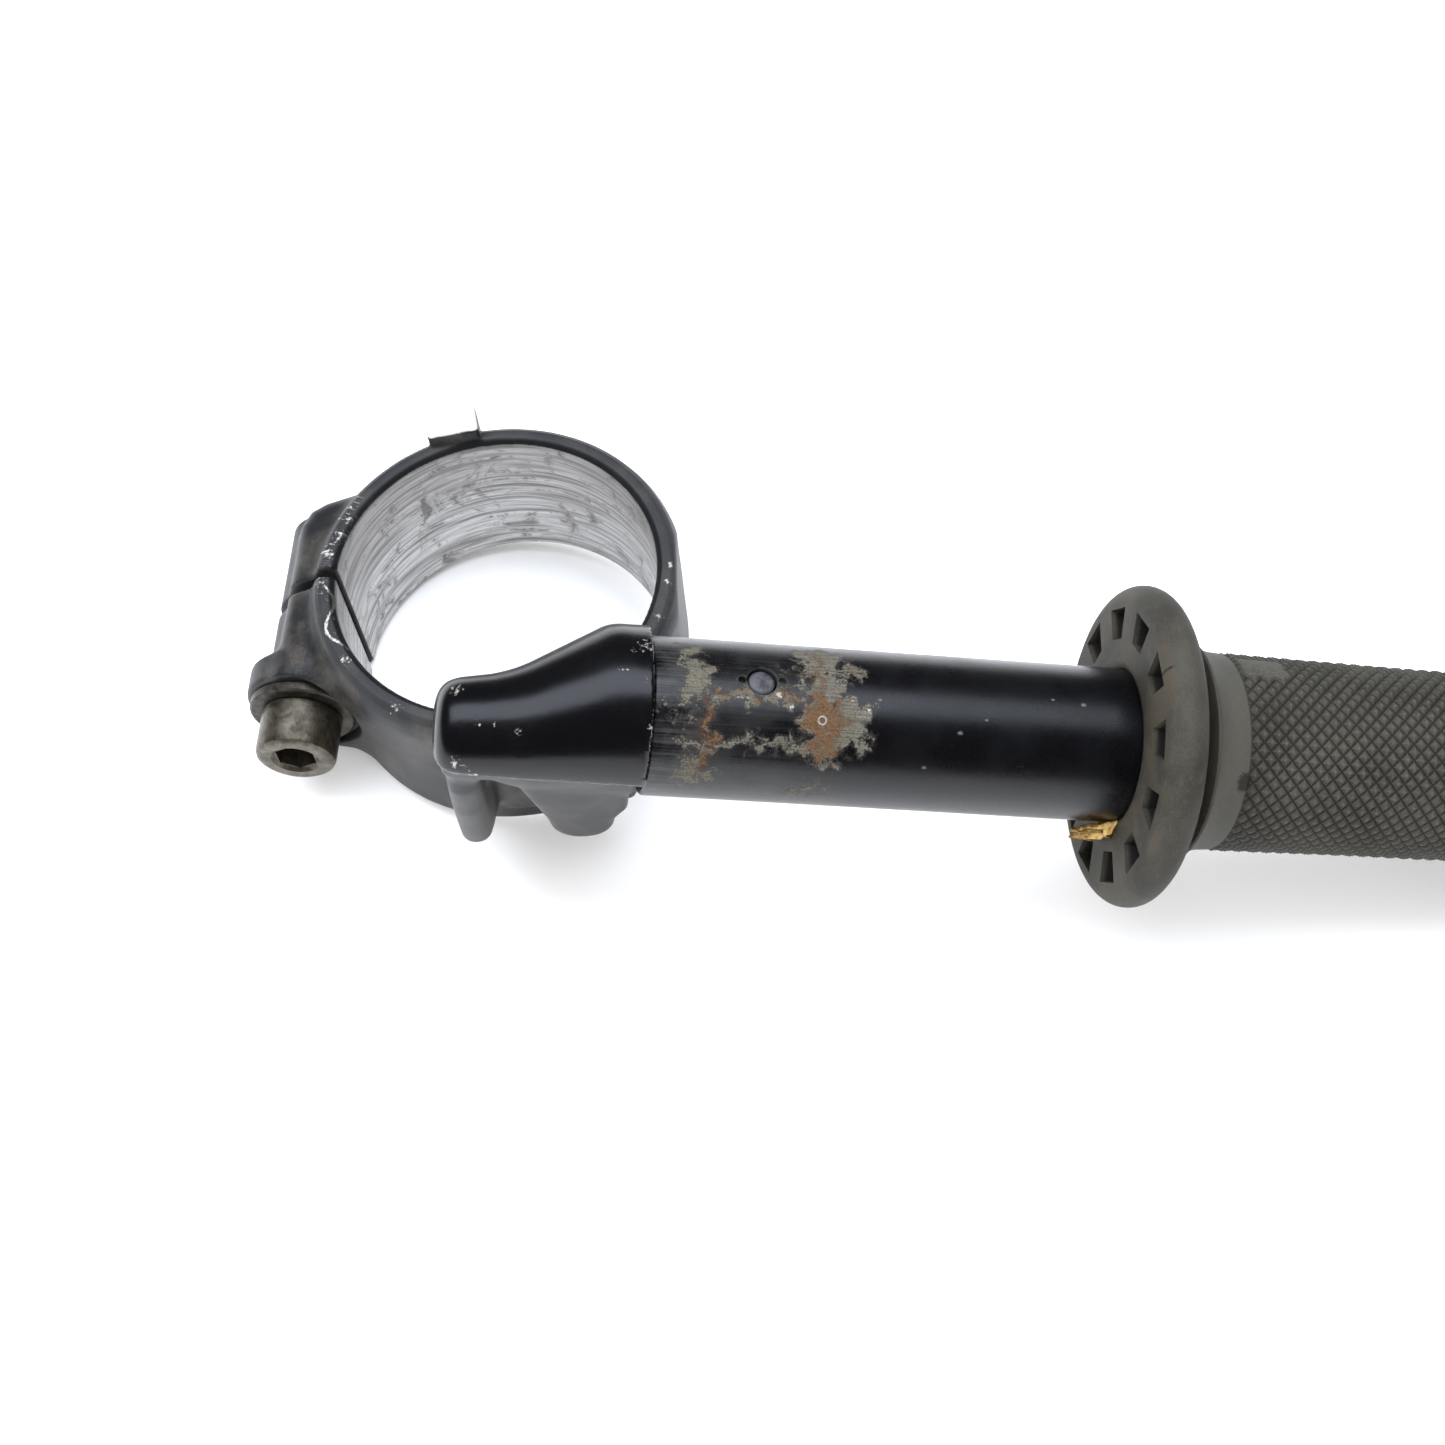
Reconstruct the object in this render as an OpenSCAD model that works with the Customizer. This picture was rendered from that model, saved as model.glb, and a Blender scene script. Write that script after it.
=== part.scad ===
// Left clip-on handlebar of a motorcycle: a split clamp for the fork tube, a pinned
// bar tube, a fixed rubber grip with its inboard flange, and the bar-end weight.
// Origin: centre of the fork bore in the clamp's top face. +Z up the fork, +X towards
// the grip, +Y to the back of the fork (the bar passes in front of it).

/* [Fork clamp] */
// Diameter of the fork tube that the clamp holds
fork_d = 50; // [46:0.5:53]
// Height of the clamp ring along the fork
clamp_h = 28.5; // [26:0.5:32]
// Wall of the clamp ring
clamp_wall = 4.2; // [3.6:0.1:5]
// Width of the slit between the pinch lugs
slit_w = 1.8; // [1.2:0.1:3]
// Width of the locating tab on the back of the ring
tab_w = 8.3; // [6:0.1:10]
// Height of the locating tab above the ring's top face
tab_rise = 2.8; // [1:0.1:5]

/* [Pinch bolt] */
// Thread diameter of the pinch bolt
bolt_d = 8; // [6:1:8]
// Diameter of the bolt's socket head
bolt_head_d = 12.5; // [11:0.1:13.5]
// Length of the bolt under its head
bolt_len = 30; // [27:0.5:31]
// Outer diameter of the washer
washer_d = 16.6; // [15:0.1:17]

/* [Bar tube] */
// Outer diameter of the bar tube
bar_d = 22.2; // [22:0.1:22.4]
// Wall of the bar tube
bar_wall = 2; // [1.6:0.1:2.5]
// Angle at which the bar droops below the clamp's top face
bar_droop = 13.5; // [8:0.5:15]
// Distance of the bar axis in front of the fork axis
bar_front = 36; // [35:0.5:38]
// Height of the bar axis above the ring's top face, in front of the fork
bar_rise = 21; // [19:0.5:22]
// Bare length of tube between the clamp and the grip, for switch and lever clamps
bare_len = 68.3; // [60:0.1:75]
// Diameter of the pin that holds the tube on its spigot
pin_d = 3.7; // [3:0.1:4.5]

/* [Grip] */
// Length of the grip with its flange
grip_len = 122.7; // [115:0.1:125]
// Diameter of the flange
flange_d = 46.5; // [42:0.5:48]
// Thickness of the flange
flange_t = 5.8; // [5:0.1:7]
// Diameter of the grip behind the flange
grip_d = 29.2; // [28.6:0.1:30.5]
// Number of pockets moulded in the flange's inboard face
flange_pockets = 12; // [8:1:16]

/* [Bar-end weight] */
// Diameter of the bar-end weight
weight_d = 31; // [28:0.5:34]
// Length of the bar-end weight
weight_len = 34; // [26:1:40]
// Thread diameter of the screw that holds it
screw_d = 6; // [5:1:8]

/* [Hidden] */
$fn = 72;
// running clearance of a thread in its hole, and how far a cutter passes its face
run_gap = 0.05;
over = 1;

// clamp ring: its rims are thinner than its middle
fork_r = fork_d / 2;
bore_chamfer = 0.5;
ring_r = fork_r + clamp_wall;
rim_r = fork_r + 2.6;
rim_drop = 1.7;
tab_turn = 9;
tab_shift = -3;
tab_deep = 14;

// pinch joint, in its own frame: x outwards from the fork, y towards the bolt's head
slit_turn = -4;
bolt_x = fork_r + 6.1;
bolt_z = -clamp_h / 2;
seat_y = 16.2;
lug_boss_r = 9;
lug_back_r = 6.2;
lug_rise = 9.2;
lug_low = 2;
lug_cone_y = 8.4;
lug_cone_h = 3;
far_lug_y = -17;
spot_face_gap = 0.3;
washer_t = 1.6;
washer_gap = 0.3;
bolt_head_h = 7.9;
head_bevel = 0.6;
bolt_hole_r = bolt_d / 2 + 0.4;
bolt_socket_af = 6;
bolt_socket_depth = 4.5;

// bar tube, along its own axis from the plane of the fork axis
seam_x = 24.8;
boss_lift = 0.2;
boss_r = 12;
boss_shift = 0.3;
// stations of the boss: place along the bar, offset to the back, radius
boss_stations = [[3.5, -4.2, 7.4], [11.8, -3.2, 8.6], [28.6, 1.7, 14]];
spigot_len = 26;
bore_r = bar_d / 2 - bar_wall;
spigot_r = bore_r;
pin_x = seam_x + 14.7;
pin_sink = 0.5;
pin_gap = 0.3;
grip_x = seam_x + bare_len;
grip_end_x = grip_x + grip_len;
tube_end_x = grip_end_x - 1;

// grip: radii of its groove, the lip beside it and the collar before the knurled body
groove_r = 13;
groove_w = 2.2;
lip_r = 15.7;
collar_r = grip_d / 2 - 0.3;
collar_x = flange_t + 6;
body_x = flange_t + 9;
waist_r = grip_d / 2 - 0.6;
end_lip = 0.7;
pocket_in_r = 15.3;
pocket_out_r = 19.8;
pocket_w = 4.2;
pocket_deep = 2.2;
cement_len = 6.2;
cement_rise = 3.4;
cement_turn = 38;

// rubber-mounted damper weight inside the tube
damper_r = 6.8;
damper_len = 86;
damper_end_x = tube_end_x - 14;
ring_len = 7;
cup_r = bore_r - 0.4;
cup_t = 1;
cup_len = 6;
tongue_x = damper_end_x + 4;
tongue_r = 1.8;
tongue_hole_r = 2.2;
tapped_len = 30;

// bar-end weight and its screw
end_gap = 0.4;
weight_x = grip_end_x + end_gap;
spigot2_r = bore_r - 0.35;
spigot2_len = 8;
screw_len = 54;
screw_head_r = 5;
screw_head_h = 5;
screw_sink = 1.5;
screw_gap = 0.3;
screw_socket_af = 5;
screw_socket_depth = 3;
screw_seat_x = weight_x + weight_len - screw_head_h - screw_sink;
weight_groove_r = weight_d / 2 - 1.2;

module bar_frame() {
    translate([0, -bar_front, bar_rise]) rotate([0, bar_droop, 0]) children();
}

// turns a body of revolution drawn along Z so that it lies along the bar
module along_bar(x = 0) {
    translate([x, 0, 0]) rotate([0, 90, 0]) children();
}

module pinch_frame() {
    rotate([0, 0, 180 + slit_turn]) translate([0, 0, bolt_z]) children();
}

// lays a body drawn along Z along the pinch bolt, its +Z towards the bolt's head
module along_bolt(y = 0) {
    translate([bolt_x, y, 0]) rotate([-90, 0, 0]) children();
}

module ring_body() {
    rotate_extrude()
        polygon([[fork_r - 2, -clamp_h], [rim_r, -clamp_h], [ring_r - 0.6, -clamp_h + rim_drop],
                 [ring_r, -rim_drop - 2], [ring_r - 0.3, -rim_drop], [rim_r + 0.7, -0.5],
                 [rim_r, 0], [fork_r - 2, 0]]);
}

module pinch_lugs() {
    pinch_frame() {
        translate([0, 0, lug_low - clamp_h / 2]) linear_extrude(clamp_h / 2 - lug_low + lug_rise)
            polygon([[fork_r - 8, -21], [fork_r + 1, -18.5], [fork_r + 6, -16.8],
                     [fork_r + 8.2, -15.3], [fork_r + 8.8, -12.5], [fork_r + 8.8, 6],
                     [fork_r + 8.8, seat_y], [fork_r + 5, seat_y + 1.4], [fork_r - 1, seat_y + 1.8],
                     [fork_r - 8, seat_y + 4.4]]);
        along_bolt(far_lug_y) cylinder(r = lug_back_r, h = seat_y - far_lug_y);
        along_bolt(lug_cone_y) cylinder(r1 = lug_back_r, r2 = lug_boss_r, h = lug_cone_h);
        along_bolt(lug_cone_y + lug_cone_h)
            cylinder(r = lug_boss_r, h = seat_y - lug_cone_y - lug_cone_h);
    }
}

module locating_tab() {
    rotate([0, 0, tab_turn]) translate([tab_shift - tab_w / 2, rim_r - 0.6, -tab_deep])
        cube([tab_w, 4, tab_deep + tab_rise]);
}

// solid boss that carries the bar: it swells from a round nose in front of the fork
// to a full round at the tube's end face, with the spigot that the tube slides on
module bar_boss() {
    bar_frame() {
        intersection() {
            translate([-10, boss_shift, boss_lift]) along_bar() cylinder(r = boss_r, h = seam_x + 10);
            for (i = [0 : 1]) {
                near = boss_stations[i];
                next = boss_stations[i + 1];
                turn = atan2(next[1] - near[1], next[0] - near[0]);
                span = norm([next[0] - near[0], next[1] - near[1]]);
                translate([near[0], near[1], boss_lift]) {
                    sphere(r = near[2] + 0.02);
                    rotate([0, 90, turn]) cylinder(r1 = near[2], r2 = next[2], h = span);
                }
            }
        }
        along_bar(seam_x - over) cylinder(r = spigot_r, h = spigot_len + over);
    }
}

// narrow rib under the boss's nose: side outline swept across its width
module nose_rib() {
    rotate([0, 5, 0]) translate([-4.6, 0, 0]) rotate([90, 0, 90]) linear_extrude(4.8)
        polygon([[-fork_r - 1, -21], [-ring_r - 3, -20], [-ring_r - 9.5, -13.5], [-ring_r - 12, -10.5],
                 [-ring_r - 12.8, -7], [-bar_front - 8.2, 4], [-bar_front - 9.6, 12],
                 [-bar_front, 12], [-ring_r, 4], [-fork_r - 1, -1]]);
}

// broad gusset under the boss's bar end, with a rounded tongue at its foot
module bar_gusset() {
    intersection() {
        translate([0, -fork_r - 1, 0]) rotate([90, 0, 0]) linear_extrude(24) union() {
            polygon([[5, 12], [8.4, -3], [9.6, -6], [17, -6], [20.5, 0], [22, 12]]);
            translate([13.2, -5.4]) circle(r = 4.6);
        }
        rotate([90, 0, 90]) linear_extrude(24)
            polygon([[-fork_r - 1, -20], [-ring_r - 4, -17], [-ring_r - 10, -12], [-ring_r - 13, -9],
                     [-bar_front - 7.2, 0], [-bar_front - 7.2, 14], [-fork_r - 1, 14]]);
    }
}

// web that fills between the boss and the ring's front wall
module boss_web() {
    translate([-0.5, 0, 0]) rotate([90, 0, 90]) linear_extrude(20.5)
        polygon([[-fork_r - 1.5, -24], [-ring_r, -22], [-ring_r - 3, -6], [-bar_front - 3, 6],
                 [-bar_front - 3, bar_rise - 10], [-fork_r - 5, bar_rise - 10],
                 [-fork_r - 1.5, 0]]);
}

module clamp_cuts() {
    // fork bore with a chamfer at each end
    translate([0, 0, -clamp_h - over]) cylinder(r = fork_r, h = clamp_h + 60);
    translate([0, 0, -bore_chamfer])
        cylinder(r1 = fork_r, r2 = fork_r + 2 * bore_chamfer, h = 2 * bore_chamfer);
    translate([0, 0, -clamp_h - bore_chamfer])
        cylinder(r1 = fork_r + 2 * bore_chamfer, r2 = fork_r, h = 2 * bore_chamfer);
    pinch_frame() {
        // slit through the ring and between the lugs
        translate([fork_r - 4, -slit_w / 2, -clamp_h]) cube([26, slit_w, 2 * clamp_h]);
        // spot face for the washer, clearance hole and tapped hole
        along_bolt(seat_y) cylinder(r = lug_boss_r + spot_face_gap, h = 16);
        along_bolt(0) cylinder(r = bolt_hole_r, h = seat_y + over);
        along_bolt(far_lug_y - over) cylinder(r = bolt_d / 2 + run_gap, h = 2 * over - far_lug_y);
    }
    // cross hole for the retaining pin
    bar_frame() translate([pin_x, 0, 0]) cylinder(r = pin_d / 2, h = bar_d);
}

module fork_clamp() {
    color("#26262a") difference() {
        union() {
            ring_body();
            pinch_lugs();
            locating_tab();
            bar_boss();
            boss_web();
            nose_rib();
            bar_gusset();
        }
        clamp_cuts();
    }
}

module pinch_bolt() {
    head_y = seat_y + washer_t;
    color("#6f6a58") pinch_frame() difference() {
        union() {
            along_bolt(head_y - bolt_len) cylinder(r = bolt_d / 2, h = bolt_len + over);
            along_bolt(head_y) cylinder(r = bolt_head_d / 2, h = bolt_head_h - head_bevel);
            along_bolt(head_y + bolt_head_h - head_bevel)
                cylinder(r1 = bolt_head_d / 2, r2 = bolt_head_d / 2 - head_bevel, h = head_bevel);
        }
        along_bolt(head_y + bolt_head_h - bolt_socket_depth)
            cylinder(r = bolt_socket_af / sqrt(3), h = bolt_socket_depth + over, $fn = 6);
    }
}

module pinch_washer() {
    color("#55534c") pinch_frame() difference() {
        along_bolt(seat_y) cylinder(r = washer_d / 2, h = washer_t);
        along_bolt(seat_y - over) cylinder(r = bolt_d / 2 + washer_gap, h = washer_t + 2 * over);
    }
}

module bar_tube() {
    color("#141416") bar_frame() difference() {
        along_bar(seam_x) cylinder(r = bar_d / 2, h = tube_end_x - seam_x);
        along_bar(seam_x - over) cylinder(r = bore_r, h = tube_end_x - seam_x + 2 * over);
        translate([pin_x, 0, 0]) cylinder(r = pin_d / 2 + pin_gap, h = bar_d);
        // hole that the damper retainer's tongue snaps into
        translate([tongue_x, 0, 0]) rotate([-90, 0, 0]) cylinder(r = tongue_hole_r, h = bar_d);
    }
}

module retaining_pin() {
    color("#8b8b88") bar_frame() translate([pin_x, 0, 0])
        cylinder(r = pin_d / 2, h = bar_d / 2 - pin_sink);
}

// grip outline along the bar: flange with a round rim, groove, lip, collar, body, end bead
module rubber_grip() {
    body_r = grip_d / 2;
    rim = flange_t / 2;
    color("#4a4640") bar_frame() difference() {
        along_bar(grip_x) rotate_extrude() union() {
            polygon([[bar_d / 2, 0], [flange_d / 2 - rim, 0], [flange_d / 2 - rim, flange_t],
                     [lip_r + 2, flange_t - 0.3], [groove_r, flange_t],
                     [groove_r, flange_t + groove_w], [lip_r, flange_t + groove_w + 0.5],
                     [lip_r, flange_t + groove_w + 1], [collar_r, collar_x],
                     [collar_r, body_x], [body_r, body_x + 0.3],
                     [waist_r, grip_len / 2], [body_r, grip_len - 9],
                     [body_r + end_lip, grip_len - 7], [body_r + end_lip, grip_len - 1],
                     [body_r - 0.3, grip_len], [bar_d / 2, grip_len]]);
            translate([flange_d / 2 - rim, rim]) circle(r = rim);
        }
        for (i = [0 : flange_pockets - 1]) rotate([i * 360 / flange_pockets, 0, 0])
            translate([grip_x - over, -pocket_w / 2, pocket_in_r])
                cube([pocket_deep + over, pocket_w, pocket_out_r - pocket_in_r]);
    }
}

// bead of dried cement under the front of the bar, where it enters the grip
module grip_cement() {
    color("#b98a2e") bar_frame() intersection() {
        along_bar(grip_x - cement_len) difference() {
            cylinder(r1 = bar_d / 2 + 0.5, r2 = bar_d / 2 + cement_rise, h = cement_len);
            translate([0, 0, -over]) cylinder(r = bar_d / 2, h = cement_len + 2 * over);
        }
        rotate([cement_turn, 0, 0]) translate([grip_x - cement_len, -30, -5])
            cube([cement_len, 30, 9]);
    }
}

module damper_weight() {
    color("#3b3b3d") bar_frame() difference() {
        along_bar(damper_end_x - damper_len) cylinder(r = damper_r, h = damper_len);
        along_bar(damper_end_x - tapped_len)
            cylinder(r = screw_d / 2 + run_gap, h = tapped_len + over);
    }
}

module damper_rings() {
    inner_x = damper_end_x - damper_len + 4;
    outer_x = damper_end_x - ring_len - 3;
    color("#1f1f1f") bar_frame() for (x = [inner_x, outer_x])
        along_bar(x) difference() {
            cylinder(r = bore_r, h = ring_len);
            translate([0, 0, -over]) cylinder(r = damper_r, h = ring_len + 2 * over);
        }
}

// sprung cup on the damper's outer end, with the tongue that locks in the tube wall
module weight_retainer() {
    color("#7d7f83") bar_frame() {
        along_bar(damper_end_x) difference() {
            cylinder(r = cup_r, h = cup_len);
            translate([0, 0, cup_t]) cylinder(r = cup_r - cup_t, h = cup_len);
            translate([0, 0, -over]) cylinder(r = screw_d / 2 + screw_gap, h = cup_t + 2 * over);
        }
        translate([tongue_x, 0, 0]) rotate([-90, 0, 0]) translate([0, 0, bore_r - 0.9])
            cylinder(r = tongue_r, h = 2);
    }
}

module bar_end_weight() {
    r = weight_d / 2;
    color("#1b1b1d") bar_frame() along_bar(weight_x) difference() {
        rotate_extrude()
            polygon([[0, -spigot2_len], [spigot2_r, -spigot2_len], [spigot2_r, 0], [r - 1, 0], [r, 1],
                     [r, 9], [weight_groove_r, 10], [weight_groove_r, 12], [r, 13],
                     [r, weight_len - 3], [r - 3, weight_len], [0, weight_len]]);
        translate([0, 0, -spigot2_len - over])
            cylinder(r = screw_d / 2 + screw_gap, h = weight_len + 20);
        translate([0, 0, screw_seat_x - weight_x]) cylinder(r = screw_head_r + 0.4, h = 20);
    }
}

module bar_end_screw() {
    color("#2b2b2d") bar_frame() difference() {
        union() {
            along_bar(screw_seat_x - screw_len) cylinder(r = screw_d / 2, h = screw_len + over);
            along_bar(screw_seat_x) cylinder(r = screw_head_r, h = screw_head_h);
        }
        along_bar(screw_seat_x + screw_head_h - screw_socket_depth)
            cylinder(r = screw_socket_af / sqrt(3), h = screw_socket_depth + over, $fn = 6);
    }
}

fork_clamp();
pinch_bolt();
pinch_washer();
bar_tube();
retaining_pin();
rubber_grip();
grip_cement();
damper_weight();
damper_rings();
weight_retainer();
bar_end_weight();
bar_end_screw();
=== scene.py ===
import math
import bmesh
import bpy
import numpy as np
import openvdb
from mathutils import Matrix, Vector


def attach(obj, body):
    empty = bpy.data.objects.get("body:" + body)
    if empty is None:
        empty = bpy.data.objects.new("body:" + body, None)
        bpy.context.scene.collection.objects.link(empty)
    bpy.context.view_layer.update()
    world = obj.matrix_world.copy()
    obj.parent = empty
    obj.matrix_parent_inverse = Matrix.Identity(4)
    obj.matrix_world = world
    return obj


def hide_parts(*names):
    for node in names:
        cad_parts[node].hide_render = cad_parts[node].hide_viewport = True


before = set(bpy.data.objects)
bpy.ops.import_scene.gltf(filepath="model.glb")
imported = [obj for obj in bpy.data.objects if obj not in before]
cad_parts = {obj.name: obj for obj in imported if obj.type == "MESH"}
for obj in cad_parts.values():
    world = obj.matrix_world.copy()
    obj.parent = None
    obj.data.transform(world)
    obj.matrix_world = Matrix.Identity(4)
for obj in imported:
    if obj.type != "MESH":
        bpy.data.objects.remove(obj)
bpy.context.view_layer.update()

# ---- Camera, table and light -----------------------------------------------------------
# A white table lies under the bar: the clamp ring's lower edge and the bar end rest on it.
# The camera looks down at it at sixty degrees, in the light of large soft boxes.
MM = 0.001
camera_place = np.array([45.717, -176.148, 254.799])
look_down, look_side, look_roll = (math.radians(a) for a in (59.94, -4.39, 6.94))
ahead = np.array([math.sin(look_side) * math.cos(look_down),
                  math.cos(look_side) * math.cos(look_down), -math.sin(look_down)])
level = np.array([math.cos(look_side), -math.sin(look_side), 0.0])
fall = np.cross(ahead, level)
right = math.cos(look_roll) * level + math.sin(look_roll) * fall
down = math.cos(look_roll) * fall - math.sin(look_roll) * level
lens = bpy.data.cameras.new("camera")
lens.sensor_width, lens.lens = 36.0, 50.03
lens.clip_start, lens.clip_end = 0.01, 20.0
camera = bpy.data.objects.new("camera", lens)
camera.matrix_world = Matrix([[*row, place * MM] for row, place in
                              zip(np.array([right, -down, -ahead]).T.tolist(), camera_place)]
                             + [[0, 0, 0, 1]])
bpy.context.scene.collection.objects.link(camera)
bpy.context.scene.camera = camera


def mesh_piece(name, points, faces, smooth=True, marks=None):
    """A mesh object from points in millimetres; marks are numbers kept at each point."""
    mesh = bpy.data.meshes.new(name)
    mesh.from_pydata((np.asarray(points, float) * MM).tolist(), [],
                     faces.tolist() if hasattr(faces, "tolist") else faces)
    mesh.validate()
    for mark, values in (marks or {}).items():
        data = mesh.attributes.new(mark, "FLOAT", "POINT").data
        data.foreach_set("value", np.asarray(values, np.float32))
    mesh.polygons.foreach_set("use_smooth", [smooth] * len(mesh.polygons))
    mesh.update()
    piece = bpy.data.objects.new(name, mesh)
    bpy.context.scene.collection.objects.link(piece)
    return piece


class Wire:
    """A socket of a node tree that Python sums can be written with."""

    def __init__(self, tree, socket=None):
        self.tree, self.socket = tree, socket

    def put(self, kind, settings=None, inputs=None, out=0):
        node = self.tree.nodes.new(kind)
        for key, value in (settings or {}).items():
            if key == "stops":
                ramp = node.color_ramp
                while len(ramp.elements) < len(value):
                    ramp.elements.new(0.5)
                for stop, (place, colour) in zip(ramp.elements, value):
                    stop.position, stop.color = place, (*colour, 1.0)
            else:
                setattr(node, key, value)
        for key, value in (inputs or {}).items():
            if isinstance(value, Wire):
                self.tree.links.new(value.socket, node.inputs[key])
            else:
                node.inputs[key].default_value = value
        return Wire(self.tree, node.outputs[out])

    def sum(self, operation, *others):
        inputs = {i: v for i, v in enumerate((self,) + others)}
        return self.put("ShaderNodeMath", {"operation": operation}, inputs)

    def __add__(self, other):
        return self.sum("ADD", other)

    def __sub__(self, other):
        return self.sum("SUBTRACT", other)

    def __mul__(self, other):
        return self.sum("MULTIPLY", other)

    def __radd__(self, other):
        return self.put("ShaderNodeMath", {"operation": "ADD"}, {0: other, 1: self})

    def __rsub__(self, other):
        return self.put("ShaderNodeMath", {"operation": "SUBTRACT"}, {0: other, 1: self})

    def step(self, low, high, bottom=0.0, top=1.0):
        return self.put("ShaderNodeMapRange", {"interpolation_type": "SMOOTHSTEP"},
                        {0: self, 1: low, 2: high, 3: bottom, 4: top})

    def noise(self, scale, detail=4.0, rough=0.55, stretch=None, distortion=0.0):
        place = self
        if stretch:
            place = self.put("ShaderNodeVectorMath", {"operation": "MULTIPLY"},
                             {0: self, 1: stretch})
        return self.put("ShaderNodeTexNoise", {},
                        {"Vector": place, "Scale": scale, "Detail": detail,
                         "Roughness": rough, "Distortion": distortion})

    def tint(self, under, over):
        """Colour under where this is 0, over where it is 1."""
        ends = [c if isinstance(c, Wire) else (*c, 1.0) for c in (under, over)]
        return self.put("ShaderNodeMix", {"data_type": "RGBA"},
                        {0: self, 6: ends[0], 7: ends[1]}, 2)

    def mark(self, name):
        return self.put("ShaderNodeAttribute", {"attribute_name": name}, out=2)

    def split(self):
        """The three parts of a vector, each as a wire."""
        parts = self.put("ShaderNodeSeparateXYZ", {}, {0: self}).socket.node.outputs
        return [Wire(self.tree, parts[i]) for i in range(3)]


def new_material(name):
    """An empty material, and a wire on its Object coordinates in millimetres."""
    material = bpy.data.materials.new(name)
    material.use_nodes = True
    tree = material.node_tree
    tree.nodes.clear()
    place = Wire(tree).put("ShaderNodeTexCoord", out=3)
    return material, place.put("ShaderNodeVectorMath", {"operation": "MULTIPLY"},
                               {0: place, 1: (1000,) * 3})


def shade(place, colour, rough, metallic=0.0, bump=None, bump_mm=0.1, **sockets):
    """Principled surface fed by wires or plain numbers."""
    wire = Wire(place.tree)
    inputs = {"Base Color": colour if isinstance(colour, Wire) else (*colour, 1.0),
              "Roughness": rough, "Metallic": metallic}
    inputs.update({key.replace("_", " "): value for key, value in sockets.items()})
    if bump is not None:
        inputs["Normal"] = wire.put("ShaderNodeBump", {}, {
            "Strength": 1.0, "Distance": bump_mm * MM, "Height": bump})
    surface = wire.put("ShaderNodeBsdfPrincipled", {}, inputs)
    end = wire.tree.nodes.new("ShaderNodeOutputMaterial")
    wire.tree.links.new(surface.socket, end.inputs[0])


table_drop, table_run = 24.0, 267.3
table_slope = table_drop / table_run
table_touch = np.array([-27.6, 0.0, -28.6])
reach = 1300.0
corners = [(x, y, table_touch[2] - table_slope * (x - table_touch[0]))
           for x, y in ((-reach, -reach), (reach, -reach), (reach, reach), (-reach, reach))]
table = mesh_piece("table", corners, [[0, 1, 2, 3]])
white, spot = new_material("white_table")
shade(spot, (0.93, 0.93, 0.935), 0.55, Specular_IOR_Level=0.3)
table.data.materials.append(white)

world = bpy.data.worlds.new("room")
bpy.context.scene.world = world
world.use_nodes = True
world.node_tree.nodes["Background"].inputs["Color"].default_value = (1.0, 1.0, 1.0, 1.0)
path = world.node_tree.nodes.new("ShaderNodeLightPath")
seen, mirrored = (Wire(world.node_tree, path.outputs[name])
                  for name in ("Is Camera Ray", "Is Glossy Ray"))
room_glow, backdrop_glow, mirror_loss = 0.28, 0.6, 0.20
world.node_tree.links.new((room_glow + seen * backdrop_glow - mirrored * mirror_loss).socket,
                          world.node_tree.nodes["Background"].inputs["Strength"])


def soft_box(name, place, aim, size, power, mirrored=True, tint=(1.0, 1.0, 1.0)):
    lamp = bpy.data.lights.new(name, "AREA")
    lamp.color = tint
    lamp.shape, lamp.size, lamp.size_y, lamp.energy = "RECTANGLE", size[0], size[1], power
    holder = bpy.data.objects.new(name, lamp)
    holder.location, holder.visible_glossy = place, mirrored
    holder.rotation_euler = (Vector(aim) - Vector(place)).to_track_quat("-Z", "Y").to_euler()
    bpy.context.scene.collection.objects.link(holder)


soft_box("top_box", (0.05, 0.11, 0.85), (0.05, 0.0, 0.0), (1.2, 0.55), 9.5,
         tint=(0.80, 0.87, 1.0))
soft_box("ceiling", (0.1, 0.1, 1.1), (0.06, 0.0, 0.0), (2.2, 1.8), 31.0, mirrored=False)
soft_box("left_box", (-0.75, -0.35, 0.45), (0.0, 0.0, 0.0), (0.4, 0.5), 4.0, mirrored=False)
soft_box("front_box", (0.1, -0.9, 0.6), (0.05, 0.0, 0.0), (0.8, 0.4), 4.0, mirrored=False)
bpy.context.scene.view_settings.view_transform = "Standard"

# ---- Fork clamp ------------------------------------------------------------------------
# One aluminium forging: split ring, two pinch lugs, locating tab, and the boss and ribs
# that carry the bar. It is painted satin black, chipped at its edges, and bare in the bore.
clamp_voxel = 0.4
bar_droop, bar_front, bar_rise = math.radians(13.5), 36.0, 21.0
bolt_turn, bolt_out, bolt_drop = math.radians(176), 31.1, 14.25
tab_turn, rib_turn = math.radians(9), math.radians(5)


def bar_to_row(points):
    """Points along the bar turned into the clamp's frame, in millimetres."""
    x, y, z = points.T
    return np.stack([x * math.cos(bar_droop) + z * math.sin(bar_droop), y - bar_front,
                     z * math.cos(bar_droop) - x * math.sin(bar_droop) + bar_rise], 1)


def soft_max(a, b, k):
    """The larger of two distances, with the crease between them rounded over k."""
    h = np.maximum(k - np.abs(a - b), 0.0) / k
    return np.maximum(a, b) + h * h * k * 0.25


def soft_min(a, b, k):
    return -soft_max(-a, -b, k)


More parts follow.
